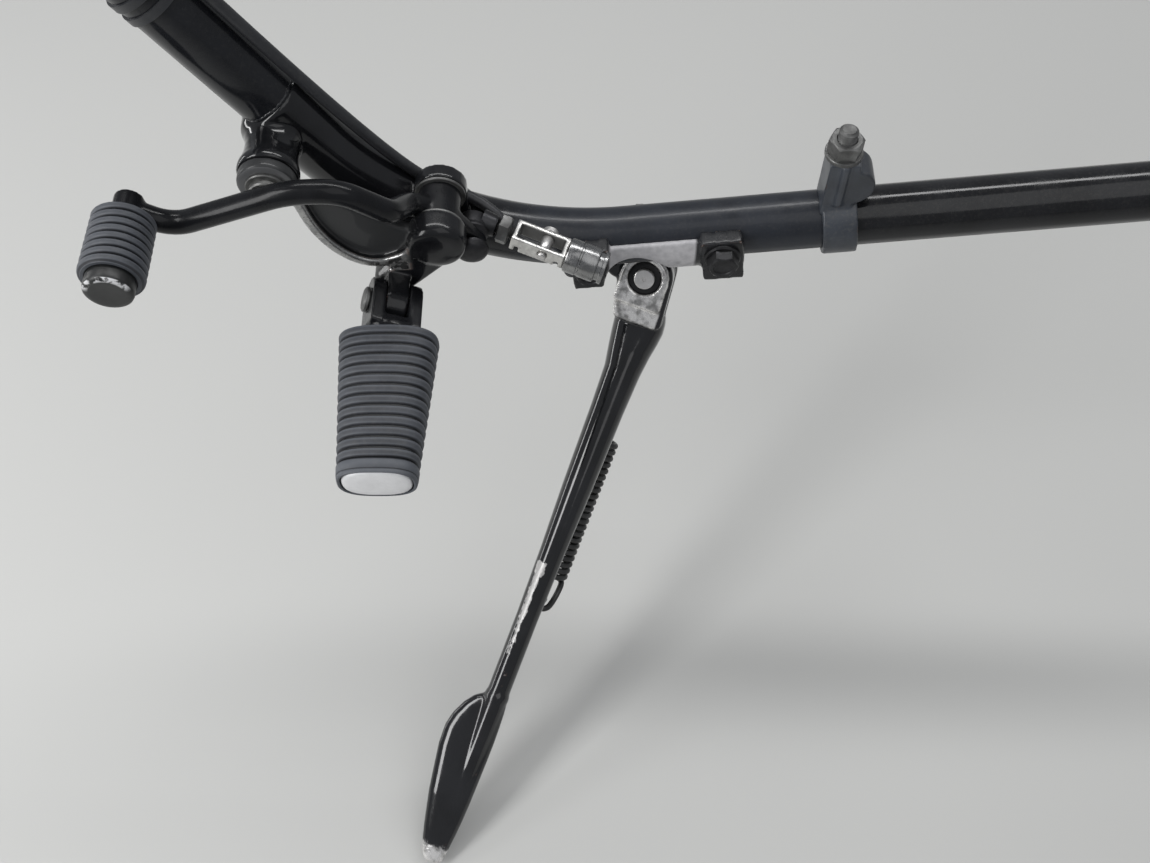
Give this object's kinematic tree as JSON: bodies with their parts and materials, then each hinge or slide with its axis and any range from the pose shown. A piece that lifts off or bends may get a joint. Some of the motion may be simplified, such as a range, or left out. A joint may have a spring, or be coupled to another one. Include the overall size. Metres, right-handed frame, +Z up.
{
  "type": "motorcycle lower frame rail with side stand and footrest",
  "caption": "Bent tubular left lower frame rail of a cruiser motorcycle with a folding side stand, folding footrest, gear lever and its linkage.",
  "frame": {"origin": "middle of the front joint's two bolt holes, in the mid plane of its lug", "axes": "+X forward along the motorcycle, +Y outboard to its left side, +Z up"},
  "size_m": [0.5598, 0.2637, 0.4501],
  "materials": {
    "frame_paint": "gloss black paint, dulled by dust",
    "mount_paint": "thin dark blue-grey paint",
    "bracket_paint": "black paint worn to steel on the edges",
    "stand_paint": "gloss black paint, worn bare at the pivot, the spring and the tip",
    "bare_steel": "bare steel, lightly stained",
    "dark_steel": "blackened steel",
    "spring_steel": "oiled dark spring wire",
    "zinc": "dull bright zinc plate",
    "grey_metal": "smooth grey metal",
    "alloy": "satin alloy, scuffed",
    "rubber": "matt black ribbed rubber",
    "lead_skin": "black sheath, plug and ties"
  },
  "bodies": {
    "rail": {"bracket_bolt": "bare_steel", "engine_mount": "mount_paint", "engine_mount_bolt": "bare_steel", "footrest_bracket": "bracket_paint", "footrest_pin": "bare_steel", "frame_rail": "frame_paint", "front_joint_lug": "frame_paint", "front_saddle_bolt": "dark_steel", "gear_lever": "bracket_paint", "gear_lever_end_plate": "bracket_paint", "gear_lever_rubber": "rubber", "lead": "lead_skin", "lead_clip_1": "lead_skin", "lead_clip_2": "lead_skin", "lead_connector": "lead_skin", "link_ball": "dark_steel", "link_fork": "zinc", "link_housing": "grey_metal", "link_pin": "bare_steel", "link_rod": "bare_steel", "pivot_bolt": "bare_steel", "rear_joint_lug": "frame_paint", "rear_saddle_bolt": "dark_steel", "stand_bracket": "bracket_paint", "stand_pivot_bolt": "bare_steel"},
    "stand": {"return_spring": "spring_steel", "stand_foot": "stand_paint", "stand_leg": "stand_paint"},
    "footrest": {"footrest_core": "bracket_paint", "footrest_end_cap": "alloy", "footrest_rubber": "rubber"}
  },
  "joints": [
    {"name": "stand_pivot", "type": "hinge", "parent": "rail", "child": "stand", "pos_m": [-0.22785, -0.00602, -0.23517], "axis": [0.1799, 0.7797, 0.5998], "range_deg": [0, 103]},
    {"name": "footrest_fold", "type": "hinge", "parent": "rail", "child": "footrest", "pos_m": [-0.11728, 0.05, -0.18661], "axis": [0.9272, 0, 0.3746], "range_deg": [0, 60]}
  ]
}
